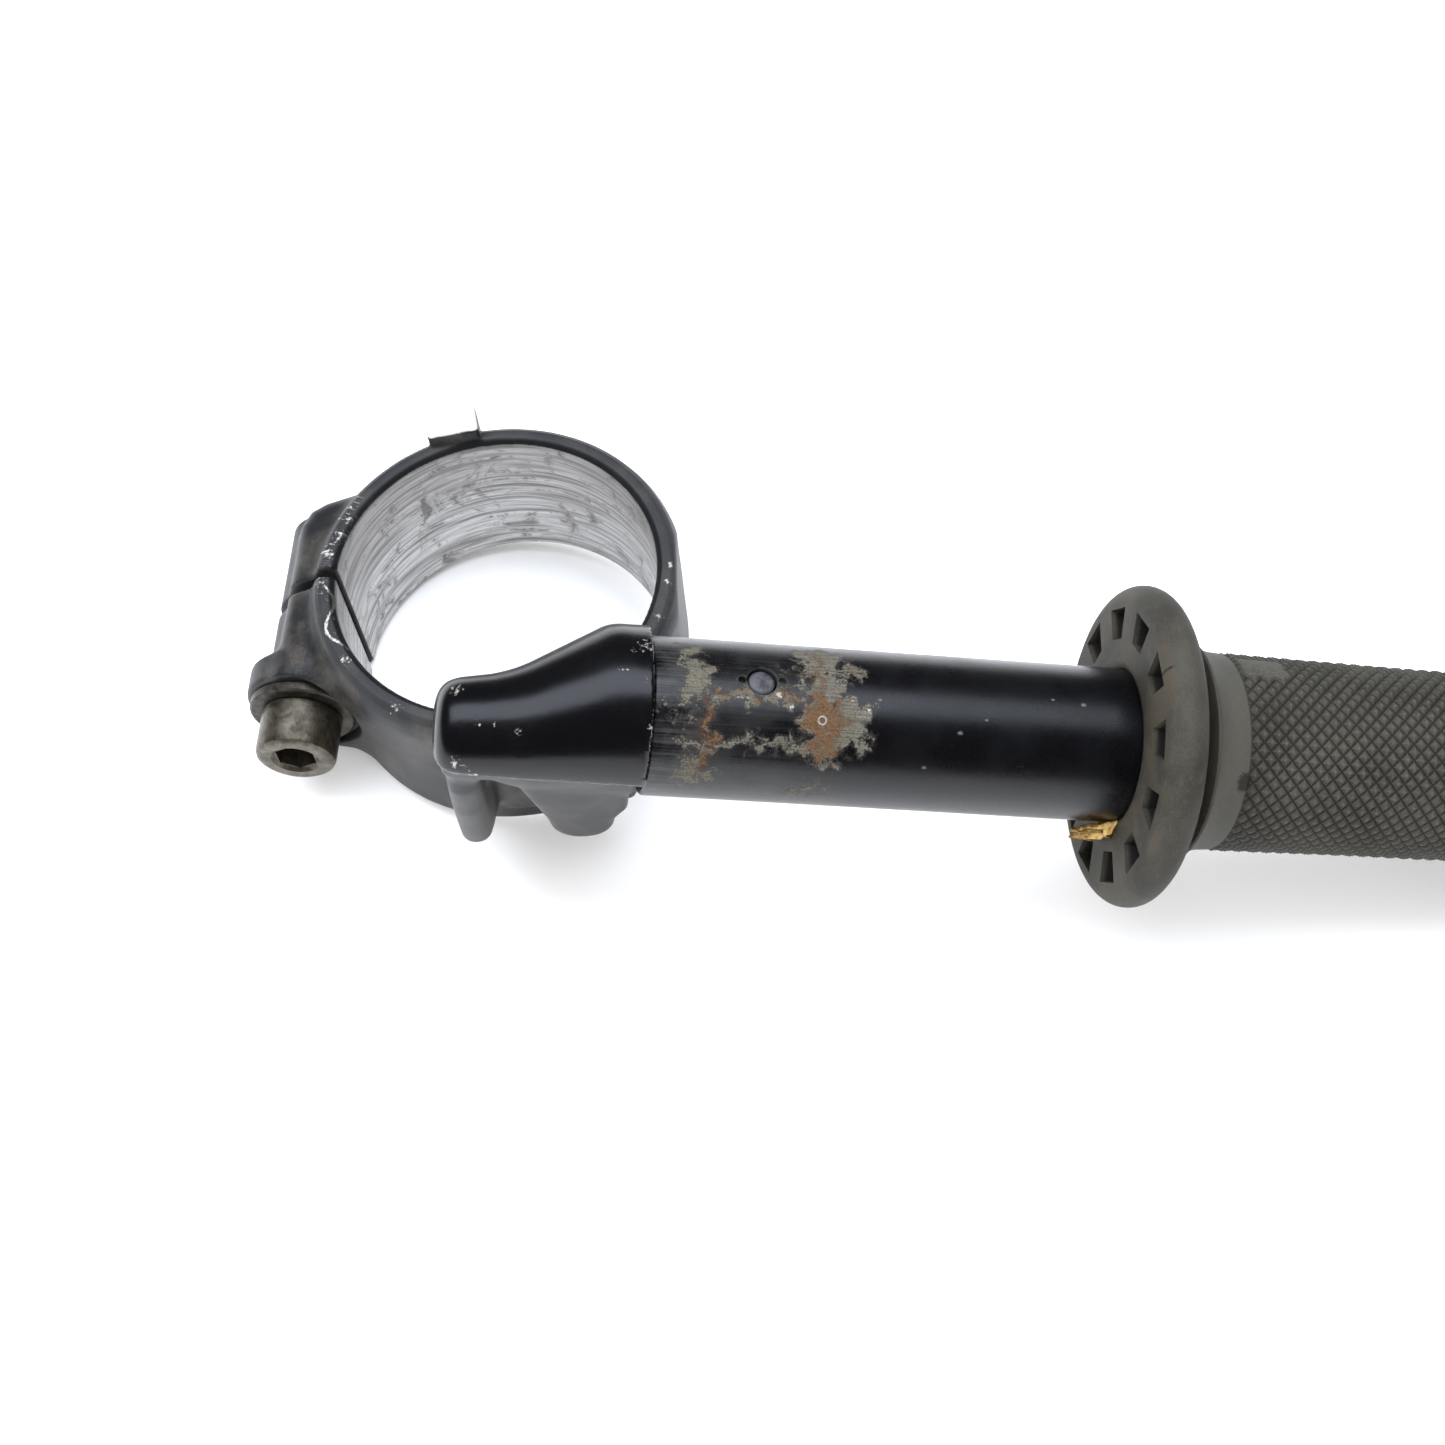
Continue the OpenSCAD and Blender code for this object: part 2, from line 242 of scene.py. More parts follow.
def outline(u, v, corners):
    """Signed distance to a closed outline in a plane."""
    corners = np.asarray(corners, np.float32)
    best = np.full(u.shape, 1e9, np.float32)
    sign = np.ones(u.shape, np.float32)
    for a, b in zip(corners, np.roll(corners, -1, 0)):
        e, wu, wv = b - a, u - a[0], v - a[1]
        t = np.clip((wu * e[0] + wv * e[1]) / (e @ e), 0, 1)
        best = np.minimum(best, (wu - t * e[0]) ** 2 + (wv - t * e[1]) ** 2)
        c1, c2, c3 = v >= a[1], v < b[1], e[0] * wv > e[1] * wu
        sign = np.where((c1 & c2 & c3) | (~c1 & ~c2 & ~c3), -sign, sign)
    return sign * np.sqrt(best)


def round_cone(x, y, z, a, ra, b, rb):
    """Distance from two balls, at a and b, and the cone that wraps them."""
    ax = np.asarray(b, float) - np.asarray(a, float)
    length = np.linalg.norm(ax)
    ax = ax / length
    px, py, pz = x - a[0], y - a[1], z - a[2]
    along = px * ax[0] + py * ax[1] + pz * ax[2]
    across = np.sqrt(np.maximum(px * px + py * py + pz * pz - along * along, 0))
    lean = (ra - rb) / length
    steep = math.sqrt(1 - lean * lean)
    k = across * -lean + along * steep
    side = across * steep + along * lean - ra
    cap_a = np.sqrt(across ** 2 + along ** 2) - ra
    cap_b = np.sqrt(across ** 2 + (along - length) ** 2) - rb
    return np.where(k < 0, cap_a, np.where(k > length * steep, cap_b, side)).astype(np.float32)


def clamp_field(x, y, z):
    """Distance from the clamp's surface, in millimetres, negative inside."""
    r = np.sqrt(x * x + y * y)
    ring = outline(r, z, [[25.9, -28.2], [27.1, -28.2], [28.3, -27.0], [28.9, -3.7], [28.6, -2.2],
                          [28.0, -0.9], [27.2, -0.3], [25.9, -0.3], [25.3, -0.9], [25.3, -27.6]]) - 0.3
    # the pinch joint's own frame: u outwards, v towards the bolt's head, w up
    u = x * math.cos(bolt_turn) + y * math.sin(bolt_turn)
    v = -x * math.sin(bolt_turn) + y * math.cos(bolt_turn)
    w = z + bolt_drop
    lugs = outline(u, v, [[17, -21.2], [26, -18.4], [30, -16.8], [32.2, -15.2], [33.3, -12.4],
                          [33.3, 16.2], [30.5, 16.6], [17, 18.6]]) - 1.0
    lugs = soft_max(lugs, np.maximum(-12.25 - w, w - 10.4), 5.0)
    across = np.sqrt((u - bolt_out) ** 2 + w * w)
    flare = np.where(v > 8.4, 6.2 + np.clip((v - 8.4) / 3.0, 0, 1) * 2.8, 6.2)
    barrel = soft_max((across - flare) * 0.85, np.maximum(-17 - v, v - 16.2), 1.2)
    lugs = soft_min(lugs, barrel, 1.6)
    body = soft_min(ring, np.maximum(lugs, z + 2.2), 2.6)
    # locating tab
    tu = x * math.cos(tab_turn) + y * math.sin(tab_turn) + 3
    tv = -x * math.sin(tab_turn) + y * math.cos(tab_turn)
    tab = np.maximum(np.abs(tv - 28.5) - 2.5, np.abs(z + 5.6) - 8.4)
    tab = soft_max(np.abs(tu) - 4.15, tab, 0.7)
    body = soft_min(body, tab, 0.6)
    # boss, in the bar's frame
    bx = x * math.cos(bar_droop) - (z - bar_rise) * math.sin(bar_droop)
    by = y + bar_front
    bz = x * math.sin(bar_droop) + (z - bar_rise) * math.cos(bar_droop) - 0.2
    boss = round_cone(bx, by, bz, (1.2, -4.3, 0), 7.4, (9.3, -3.6, 0), 8.2)
    boss = soft_max(boss, -3.95 - bx, 2.0)
    flared = round_cone(bx, by, bz, (9.3, -3.55, 0), 8.35, (28.6, 1.7, 0), 14.0)
    boss = soft_min(boss, flared, 1.2)
    boss = soft_max(boss, np.sqrt((by - 0.3) ** 2 + bz * bz) - 12.05, 0.8)
    boss = np.maximum(boss, bx - 24.7)
    upper = soft_max(boss, 0.35 - bz, 0.3)
    lower = np.maximum(boss + 0.95, bz - 0.9)
    # ribs and web under the boss
    rx = x * math.cos(rib_turn) - z * math.sin(rib_turn)
    rib = outline(y, z, [[-26, -21], [-32.2, -20], [-38.7, -13.5], [-41.4, -10.3], [-42.2, -7],
                         [-44.4, 4], [-45.3, 12], [-45.0, 18], [-36, 18], [-29.2, 4], [-26, -1]])
    rib = soft_max(rib, np.abs(rx + 2.2) - 2.4, 2.6)
    foot = np.sqrt((x - 13.2) ** 2 + (z + 5.4) ** 2) - 4.6
    front = outline(x, z, [[5, 16], [8.4, -3], [9.6, -6], [17, -6], [20.5, 0], [22.5, 16]])
    side = outline(y, z, [[-26, -20], [-33.2, -17], [-39.2, -12], [-42.2, -9], [-43.2, 0],
                          [-45.4, 18], [-26, 14]])
    gusset = soft_max(soft_min(front, foot, 1.5), side, 2.0)
    web = outline(y, z, [[-26.5, -24], [-29.2, -22], [-32.2, -6], [-39, 6], [-39, 14], [-30, 11],
                         [-26.5, 0]])
    web = soft_max(web, np.abs(x - 9.75) - 10.2, 2.0)
    under = soft_min(soft_min(soft_min(lower, rib, 2.2), gusset, 2.4), web, 2.0)
    under = np.maximum(under, bz - 0.8)
    body = soft_min(body, under, 2.4)
    body = np.minimum(body, upper)
    # fork bore with chamfers, slit, bolt hole and the washer's spot face
    body = soft_min(np.maximum(body, 25.6 - r), ring, 0.2)
    body = soft_max(body, -np.maximum(np.abs(v) - 0.9, 20 - u), 0.35)
    body = soft_max(body, -np.maximum(across - 9.4, 16.2 - v), 0.35)
    body = np.maximum(body, -np.maximum(across - 4.35, np.abs(v) - 30))
    return body.astype(np.float32)


low_corner = np.array([-42.0, -49.5, -30.0])
high_corner = np.array([28.0, 34.0, 34.8])
counts = np.ceil((high_corner - low_corner) / clamp_voxel).astype(int)
grid_axes = [low_corner[i] + clamp_voxel * np.arange(counts[i]) for i in range(3)]
field = np.empty(counts, np.float32)
slab = 24  # slices of the grid worked out at a time
for start in range(0, counts[0], slab):
    gx, gy, gz = np.meshgrid(grid_axes[0][start:start + slab].astype(np.float32),
                             grid_axes[1].astype(np.float32), grid_axes[2].astype(np.float32),
                             indexing="ij")
    field[start:start + slab] = clamp_field(gx, gy, gz)
block = openvdb.FloatGrid(3.0)
block.copyFromArray(np.clip(field, -3, 3))
points, triangles, quads = block.convertToPolygons(isovalue=0.0, adaptivity=0.002)
points = points.astype(np.float64) * clamp_voxel + low_corner
probe = 0.02
for _ in range(3):
    # slides each point on to the exact surface, so edges stay true between the voxels
    here = clamp_field(*points.T)
    slope = np.stack([clamp_field(*(points + step).T) - clamp_field(*(points - step).T)
                      for step in np.eye(3) * probe], 1) / (2 * probe)
    length = np.maximum((slope ** 2).sum(1), 0.25)
    points -= np.clip((here / length)[:, None] * slope, -0.15, 0.15)
faces = quads.tolist() + triangles.tolist()
# how sharply the surface turns outwards at each point, and how near it is to a chip
middle = clamp_field(*points.T)
feel = 0.7
edge = sum(clamp_field(*(points + step).T)
           for step in np.concatenate([np.eye(3), -np.eye(3)]) * feel)
edge = np.clip((edge - 6 * middle) / feel, 0, 3)
# x, y, z and size of each chip in the paint
chips = np.array([[-23.3, 11.4, 0, 1.0], [-24.7, 8.3, 0, 1.2], [-26.1, 4.9, 0, 1.3],
                  [-27.3, -0.1, 0, 1.2],
                  [-27.1, -1.9, 0, 0.5], [-26.0, -3.1, 0, 0.5], [-24.9, -4.5, 0, 0.5],
                  [-24.4, -6.7, 0, 0.5], [-24.2, -9.1, 0, 0.5], [-24.7, -10.5, 0, 0.5],
                  [-25.3, -11.5, 0, 0.5], [-22.1, -14.5, 0, 1.1], [-14.5, -23.3, 0, 1.1],
                  [27.3, -0.7, 0, 0.7], [26.9, -3.8, 0, 0.8], [25.3, -10.1, 0, 0.8],
                  [25.9, -32.1, 26.8, 1.3], [25.5, -37.7, 27.3, 0.5], [22.1, -36.3, 27.9, 0.45],
                  [23.1, -36.3, 27.9, 0.45], [18.7, -34.3, 27.5, 0.4], [23.8, -33.0, 27.5, 0.45],
                  [3.4, -43.2, 27.5, 0.5], [5.6, -43.1, 27.2, 0.4], [8.7, -44.0, 26.5, 0.5],
                  [0.3, -37.9, 27.8, 1.0], [-0.2, -46.8, 23.8, 1.1], [1.6, -47.5, 21.0, 1.1],
                  [26.0, -43.4, 24.5, 0.7]])
chip = np.zeros(len(points))
for *centre, size in chips:
    chip = np.maximum(chip, 1 - np.linalg.norm(points - centre, axis=1) / (2.4 * size))
clamp = mesh_piece("clamp", points, faces, marks={"edge": edge, "chip": np.clip(chip, 0, 1)})

paint, spot = new_material("clamp_paint")
spot_x, spot_y, spot_z = spot.split()
radius = (spot_x * spot_x + spot_y * spot_y).sum("SQRT")
lift = spot_x * math.sin(bar_droop) + (spot_z - bar_rise) * math.cos(bar_droop)
gloss = lift.step(0.0, 0.9) * spot_y.step(-20.0, -24.0)
grain = spot.noise(2.2, 6.0, 0.62)
cloud = spot.noise(0.11, 5.0, 0.6, distortion=0.4)
pits = spot.noise(9.0, 3.0, 0.7)
flakes = spot.noise(1.6, 5.0, 0.7)
dust = (cloud + (grain - 0.5) * 0.35).step(0.42, 0.72)
coat = (dust * (1.0 - gloss * 0.85)).tint((0.0075, 0.0078, 0.0092), (0.042, 0.038, 0.032))
coat = (gloss * (1.0 - dust * 0.2)).tint(coat, (0.0016, 0.0016, 0.0022))
chipped = (spot.mark("chip") + (flakes - 0.5) * 2.6 + (pits - 0.5) * 1.0).step(0.86, 0.94)
# a thin wavy scratch in front of the slit, and short scars across the rim behind it
turned_by = (0.0 - spot_y).sum("ARCTAN2", 0.0 - spot_x)
wave = 26.2 - (turned_by * 15.65 - 2.322).sum("COSINE") * 1.05
line = (radius - wave + (flakes - 0.5) * 0.9).sum("ABSOLUTE").step(0.30, 0.14)
line = line * turned_by.step(0.02, 0.05) * turned_by.step(0.56, 0.50) * spot_z.step(-4.5, -4.0)
polar = spot.put("ShaderNodeCombineXYZ", {}, {0: radius, 1: turned_by * 26.0})
scars = polar.noise(1.0, 4.0, 0.6, stretch=(0.42, 1.5, 1.0)).step(0.57, 0.61)
scars = scars * turned_by.step(-0.66, -0.58) * turned_by.step(-0.10, -0.2) * spot_z.step(-1.6, -0.9)
chipped = chipped.sum("MAXIMUM", (line.sum("MAXIMUM", scars)) * grain.step(0.28, 0.42))
parting = (lift - 0.3).sum("ABSOLUTE").step(0.75, 0.25) * spot_y.step(-44.0, -45.5)
worn = (spot.mark("edge") * 0.42 + parting * 0.35 + (flakes - 0.5) * 1.5).step(0.72, 0.95)
coat = (worn * 0.6).tint(coat, (0.30, 0.29, 0.27))
coat = chipped.tint(coat, grain.step(0.35, 0.6).tint((0.22, 0.21, 0.19), (0.52, 0.51, 0.48)))
# the bore is bare turned metal, streaked round by the fork tube
bore = radius.step(25.16, 25.06) * spot_z.step(-28.15, -27.9) * spot_z.step(-0.45, -0.62)
streak = spot.noise(1.0, 8.0, 0.62, stretch=(0.05, 0.05, 1.3))
fine = spot.noise(1.0, 4.0, 0.6, stretch=(0.09, 0.09, 9.0))
smear = spot.noise(0.16, 6.0, 0.72, distortion=0.8)
metal = (streak + (fine - 0.5) * 0.5).step(0.30, 0.66)
metal = metal.tint((0.17, 0.163, 0.155), (0.62, 0.615, 0.61))
metal = ((smear + (streak - 0.5) * 0.7).step(0.54, 0.68) * 0.75).tint(metal, (0.07, 0.062, 0.054))
metal = (spot_z.step(-20.0, -2.0) * 0.35).tint(metal, (0.13, 0.115, 0.10))
# the locating tab's top is worn to bare metal; its near-white colour is a painted highlight
bare_highlit_top = spot_z.step(2.42, 2.62) * spot_y.step(20.0, 21.0)
# the flat top of the ring's rim is painted a lighter bluish grey: a painted sheen
rim_top_sheen = radius.step(30.0, 28.5) * spot_z.step(-1.2, -0.4) * spot_z.step(1.2, 0.6)
coat = (rim_top_sheen * (1.0 - chipped) * 0.6).tint(coat, (0.026, 0.027, 0.029))
# the bore's inner chamfer is black paint, darkened further as painted shade of the steep chamfer
inner_edge_shade = radius.step(26.05, 25.85) * spot_z.step(-0.95, -0.75) * spot_z.step(2.0, 1.0)
coat = (inner_edge_shade * 0.85).tint(coat, (0.003, 0.003, 0.0035))
colour = bare_highlit_top.tint(bore.tint(coat, metal), (0.46, 0.46, 0.45))
rough = 0.46 - gloss * 0.24 + (grain - 0.5) * 0.1 + chipped * 0.1
rough = bore * (0.42 + (fine - 0.5) * 0.3) + (1.0 - bore) * rough
bump = ((1.0 - gloss * 0.75) * (pits * 0.5 + grain * 0.4) - (chipped + worn) * 0.6
        + bore * fine * 0.6)
shade(spot, colour, rough, metallic=bore * 0.75 + chipped * 0.3, bump=bump, bump_mm=0.05,
      Specular_IOR_Level=0.34)
clamp.data.materials.append(paint)
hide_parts("fork_clamp")
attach(clamp, "bar_assembly")


# ---- Pinch bolt and washer --------------------------------------------------------------
# A steel socket-head bolt with a dull bronze coating pulls the two lugs together. It turns
# in a rolled thread in the far lug, on a plain washer that lies in the near lug's spot face.
bolt_seat, bolt_long, bolt_pitch = 17.8, 30.0, 1.25


def bolt_to_row(points):
    """Points along the bolt, its head towards +x, turned into the clamp's frame."""
    x, y, z = points.T
    u, v = bolt_out - y, x
    return np.stack([u * math.cos(bolt_turn) - v * math.sin(bolt_turn),
                     u * math.sin(bolt_turn) + v * math.cos(bolt_turn), z - bolt_drop], 1)


def turned(profile, around, closed=True):
    """A body turned about x from (x, radius) pairs: a ring if closed, else capped at both ends."""
    profile = np.asarray(profile, float)
    angles = np.linspace(0, 2 * math.pi, around, endpoint=False)
    rows = np.stack([np.repeat(profile[:, 0], around),
                     np.outer(profile[:, 1], np.sin(angles)).ravel(),
                     np.outer(profile[:, 1], np.cos(angles)).ravel()], 1)
    faces = []
    steps = len(profile) if closed else len(profile) - 1
    for i in range(steps):
        a, b = i * around, (i + 1) % len(profile) * around
        faces += [[a + j, b + j, b + (j + 1) % around, a + (j + 1) % around] for j in range(around)]
    if not closed:
        last = (len(profile) - 1) * around
        faces += [list(range(around)), [last + j for j in reversed(range(around))]]
    return rows, faces


def threaded(start, end, radius, pitch):
    """Profile rows of a rod, six to each pitch, close enough to cut a thread into."""
    return [(x, radius) for x in np.arange(start, end, pitch / 6)]


def cut_thread(points, start, end, pitch, depth):
    """Sinks a helical groove into the points of a turned body."""
    angle = np.arctan2(points[:, 1], points[:, 2]) / (2 * math.pi)
    wave = np.abs(((points[:, 0] / pitch - angle) % 1.0) - 0.5) * 2
    inside = (np.clip((points[:, 0] - start) / pitch, 0, 1)
              * np.clip((end - points[:, 0]) / pitch, 0, 1))
    keep = 1 - inside * wave * depth / np.maximum(np.hypot(points[:, 1], points[:, 2]), 0.1)
    return points * np.stack([np.ones(len(points)), keep, keep], 1)


def cut(piece, *cutters):
    """Cuts closed pieces out of a piece and removes them."""
    for cutter in cutters:
        tool = piece.modifiers.new("cut", "BOOLEAN")
        tool.object, tool.solver = cutter, "EXACT"
        graph = bpy.context.evaluated_depsgraph_get()
        mesh = bpy.data.meshes.new_from_object(piece.evaluated_get(graph))
        piece.modifiers.clear()
        piece.data = mesh
        bpy.data.objects.remove(cutter)


def soften(piece, degrees=35):
    """Smooth shading with hard creases kept."""
    mesh = piece.data
    mesh.polygons.foreach_set("use_smooth", [True] * len(mesh.polygons))
    mesh.set_sharp_from_angle(angle=math.radians(degrees))


shank = [(bolt_seat - bolt_long, 2.9), (bolt_seat - 29.2, 3.85)]
shank += threaded(bolt_seat - 29, bolt_seat - 6, 3.95, bolt_pitch)
profile = shank + [(bolt_seat - 5.5, 3.95), (bolt_seat - 0.3, 3.95), (bolt_seat, 4.2),
                   (bolt_seat, 5.9), (bolt_seat + 0.35, 6.25), (bolt_seat + 7.0, 6.25),
                   (bolt_seat + 7.55, 6.05), (bolt_seat + 7.85, 5.6), (bolt_seat + 7.9, 5.2),
                   (bolt_seat + 7.9, 3.82), (bolt_seat + 7.35, 3.22)]
points, faces = turned(profile, 96, closed=False)
points = cut_thread(points, bolt_seat - 29.2, bolt_seat - 7, bolt_pitch, 0.6)
bolt = mesh_piece("bolt", bolt_to_row(points), faces)
socket_points, socket_faces = turned([(bolt_seat + 3.4, 3.35), (bolt_seat + 9, 3.35)], 6,
                                     closed=False)
cut(bolt, mesh_piece("socket", bolt_to_row(socket_points), socket_faces, False))
soften(bolt)

washer_profile = [(16.2, 8.1), (16.45, 8.3), (17.55, 8.25), (bolt_seat, 7.9), (bolt_seat, 4.6),
                  (17.75, 4.4), (16.2, 4.4)]
points, faces = turned(washer_profile, 96)
washer = mesh_piece("washer", bolt_to_row(points), faces)
soften(washer)


def steel(name, dark, light, rough=0.4, metallic=0.85, rust=0.0):
    """Coated or bare steel with handling marks, dirt and a little rust."""
    material, spot = new_material(name)
    cloud = spot.noise(0.45, 6.0, 0.65, distortion=0.5)
    scratch = spot.noise(1.0, 5.0, 0.7, stretch=(7.0, 0.8, 3.0))
    tone = (cloud + (scratch - 0.5) * 0.4).step(0.3, 0.72).tint(dark, light)
    if rust:
        spots = spot.noise(1.3, 6.0, 0.7)
        tone = (spots.step(0.56, 0.7) * rust).tint(tone, (0.11, 0.045, 0.018))
    shade(spot, tone, rough + (scratch - 0.5) * 0.3, metallic=metallic, bump=scratch, bump_mm=0.02)
    return material


bronze = steel("bronze_coating", (0.040, 0.034, 0.025), (0.135, 0.119, 0.090), 0.38, 0.85, 0.35)
bolt.data.materials.clear()
bolt.data.materials.append(bronze)
grime = steel("washer_steel", (0.016, 0.014, 0.011), (0.075, 0.067, 0.055), 0.45, 0.7, 0.6)
washer.data.materials.append(grime)
for piece, node, slot, body in ((bolt, "pinch_bolt", "bolt_coating", "bolt"),
                                (washer, "pinch_washer", "washer_steel", "washer")):
    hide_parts(node)
    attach(piece, body)

# ---- Bar tube and its pin ---------------------------------------------------------------
# A drawn steel tube, painted gloss black, pushed over the clamp's spigot. A pin through both
# is staked at two points. Clamps and damp have worn the paint through to metal and rust here.
seam, pin_along, tube_end, tube_r = 24.8, 39.5, 214.8, 11.1
rows = [(seam, 9.1), (seam, 10.75), (seam + 0.3, 11.05)]
for start, end, spacing in ((seam + 0.6, 58, 0.45), (58.5, 96, 1.5), (98, tube_end - 1, 6)):
    rows += [(x, tube_r) for x in np.arange(start, end, spacing)]
rows += [(tube_end - 0.4, tube_r), (tube_end, 10.7), (tube_end, 9.1)]
points, faces = turned(rows, 168)
along, around = points[:, 0], tube_r * np.arctan2(-points[:, 1], points[:, 2])
# worn places: from-to along the bar, from-to round it from the top to the front, strength
bare_places = [(28.6, 32.0, -6.6, -3.4, 1.0), (28.3, 33.2, -2.6, 3.4, 1.0), (29.0, 30.0, 0, 11.5, 0.85),
               (26.0, 28.4, 3.4, 8.4, 0.5), (31.5, 33.6, 3.0, 10.5, 0.85), (33.0, 46.0, 7.9, 9.7, 0.95),
               (32.6, 45.0, 1.2, 3.6, 0.9), (44.6, 50.8, -7.6, -1.4, 1.05), (45.0, 51.0, -1.5, 10.6, 1.0),
               (49.4, 54.6, 2.0, 8.9, 1.05), (51.6, 53.4, -5.4, 0.5, 0.85), (47.2, 50.6, 10.4, 13.0, 0.75),
               (28.4, 33.6, 8.0, 17.0, 0.72), (43.0, 51.2, 14.0, 18.5, 0.5), (41.4, 43.1, -2.7, -1.0, 0.9)]
rust_places = [(30.6, 34.0, 3.0, 13.0, 1.0), (32.6, 45.5, 0.6, 3.2, 0.75), (45.0, 51.2, 1.5, 11.0, 1.0),
               (46.4, 48.4, -6.0, 1.0, 0.9), (41.2, 43.2, -2.9, -0.8, 0.9), (51.4, 53.6, -5.6, 0.6, 0.6),
               (28.8, 32.0, -5.5, 0.0, 0.4), (43.0, 51.2, 14.0, 18.5, 0.6), (29.5, 33.5, 12.0, 16.0, 0.5)]
# along the bar, round it, size
nicks = [(80.5, -0.1, 0.55), (84.9, 0.4, 0.8), (70.8, 3.6, 0.5), (67.1, 5.6, 0.8),
         (62.6, 10.8, 0.7), (55.8, 1.7, 0.5)]
white_places = [(34.2, 38.2, 2.5, 3.7, 1.0), (41.8, 43.6, 2.1, 3.6, 1.0), (52.4, 54.6, 2.4, 5.2, 0.8)]


def patches(places, soft=1.3):
    """How far inside a worn place each point is, with the edges of the places made ragged."""
    x = along + 0.7 * np.sin(1.1 * around + 0.6 * along) + 0.45 * np.sin(2.7 * around - 1.3 * along + 1)
    s = around + 0.6 * np.sin(1.3 * along + 0.9 * around + 2) + 0.4 * np.sin(3.1 * along - 1.1 * around)
    value = np.zeros(len(along))
    for x0, x1, s0, s1, strength in places:
        far = np.hypot(np.maximum(np.abs(2 * x - x0 - x1) - (x1 - x0) + 2 * soft, 0),
                       np.maximum(np.abs(2 * s - s0 - s1) - (s1 - s0) + 2 * soft, 0)) / (4 * soft)
        value = np.maximum(value, strength * np.clip(1 - far, 0, 1))
    return value


outer = np.hypot(points[:, 1], points[:, 2]) > 10
marks = {"bare": patches(bare_places) * outer, "rust": patches(rust_places) * outer,
         "bright": patches(white_places, 0.8) * outer, "along": along, "around": around}
tube = mesh_piece("tube", bar_to_row(points), faces, marks=marks)


def drill(name, x, y, radius, bottom=5.0, top=14.0, around=40):
    """A round cutter standing on the bar at x, set y to the back."""
    body, faces = turned([(bottom, radius), (top, radius)], around, closed=False)
    standing = np.stack([body[:, 1] + x, body[:, 2] + y, body[:, 0]], 1)
    return mesh_piece(name, bar_to_row(standing), faces, False)


cut(tube, drill("pin_hole", pin_along, 0, 2.12),
    drill("stake_a", pin_along - 2.75, 0, 0.58, 10.2, 13, 20),
    drill("stake_b", pin_along + 2.8, 0.2, 0.58, 10.2, 13, 20))
soften(tube)
paint, spot = new_material("tube_paint")
bar_x, bar_s = spot.mark("along"), spot.mark("around")
skin = spot.put("ShaderNodeCombineXYZ", {}, {0: bar_x, 1: bar_s})
ragged = spot.noise(0.62, 8.0, 0.68, distortion=0.7)
speck = spot.noise(3.2, 5.0, 0.65)
grain = spot.noise(11.0, 3.0, 0.6)
haze = spot.noise(0.12, 4.0, 0.6)
drawn = skin.noise(1.0, 4.0, 0.6, stretch=(0.06, 3.0, 1.0))
black = (haze + (grain - 0.5) * 0.2).step(0.35, 0.75)
black = black.tint((0.0012, 0.0012, 0.0018), (0.0026, 0.0026, 0.0034))
near_clamp = bar_x.step(34.0, 27.0) + bar_x.step(52.0, 40.0) * 0.4
scoured = near_clamp * (haze + (drawn - 0.5) * 0.8).step(0.3, 0.7) * 0.8
black = scoured.tint(black, (0.034, 0.034, 0.034))
broken = spot.mark("bare") + (ragged - 0.5) * 1.9 + (speck - 0.5) * 1.0
exposed, under = broken.step(0.56, 0.74), broken.step(0.30, 0.60)
steel_tone = (speck * 0.5 + drawn * 0.5).step(0.3, 0.7)
steel_tone = steel_tone.tint((0.052, 0.047, 0.036), (0.215, 0.200, 0.160))
blots = spot.noise(0.95, 6.0, 0.7, distortion=0.5)
rusty = (spot.mark("rust") + (blots - 0.5) * 2.6 + (speck - 0.5) * 1.8).step(0.50, 1.10)
rust_tone = (speck * 0.4 + grain * 0.6).step(0.35, 0.65)
rust_tone = rust_tone.tint((0.018, 0.010, 0.005), (0.165, 0.078, 0.030))
worn = rusty.tint(steel_tone, rust_tone)
colour = (under * 0.7).tint(black, (0.026, 0.024, 0.021))
colour = exposed.tint(colour, worn)
lost = rusty * (1.0 - exposed) * 0.7
colour = lost.tint(colour, (0.032, 0.016, 0.010))
bright = (spot.mark("bright") + (ragged - 0.5) * 1.6 + (speck - 0.5) * 1.4).step(0.78, 0.92)
colour = bright.tint(colour, (0.42, 0.41, 0.40))
dot = ((bar_x - 47.8) * (bar_x - 47.8) + (bar_s - 5.1) * (bar_s - 5.1)).sum("SQRT")
colour = (dot.step(0.72, 0.58) * dot.step(0.36, 0.48) * 0.8).tint(colour, (0.32, 0.31, 0.29))
for place, girth, size in nicks:
    nick = ((bar_x - place) * (bar_x - place) + (bar_s - girth) * (bar_s - girth) * 2.0).sum("SQRT")
    nick = (nick + (grain - 0.5) * 0.9).step(size * 0.6, size * 0.2)
    colour = (nick * 0.7).tint(colour, (0.12, 0.115, 0.10))
wear = exposed.sum("MAXIMUM", lost)
rough = 0.27 + (grain - 0.5) * 0.12 + haze.step(0.4, 0.7) * 0.06 + under * 0.15 + wear * 0.38
bump = (grain * 0.12 + exposed * (speck * 0.9 - 0.8) + rusty * exposed * speck * 1.2
        + dot.step(0.5, 0.3) * -2.0)
shade(spot, colour, rough, metallic=exposed * (1.0 - rusty) * 0.5, bump=bump, bump_mm=0.09,
      Specular_IOR_Level=0.36)
tube.data.materials.clear()
tube.data.materials.append(paint)
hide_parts("bar_tube")
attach(tube, "bar_assembly")

pin_top = 10.75
dome = [(pin_top - 8, 1.7), (pin_top - 0.35, 1.85), (pin_top - 0.1, 1.7), (pin_top, 1.3),
        (pin_top + 0.04, 0.5)]
points, faces = turned(dome, 40, closed=False)
points = np.stack([points[:, 1] + pin_along, points[:, 2], points[:, 0]], 1)
pin = mesh_piece("pin", bar_to_row(points), faces)
soften(pin, 50)
pin.data.materials.append(steel("pin_steel", (0.035, 0.036, 0.040), (0.11, 0.11, 0.12),
                                0.5, 0.5, 0.2))
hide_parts("retaining_pin")
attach(pin, "bar_assembly")

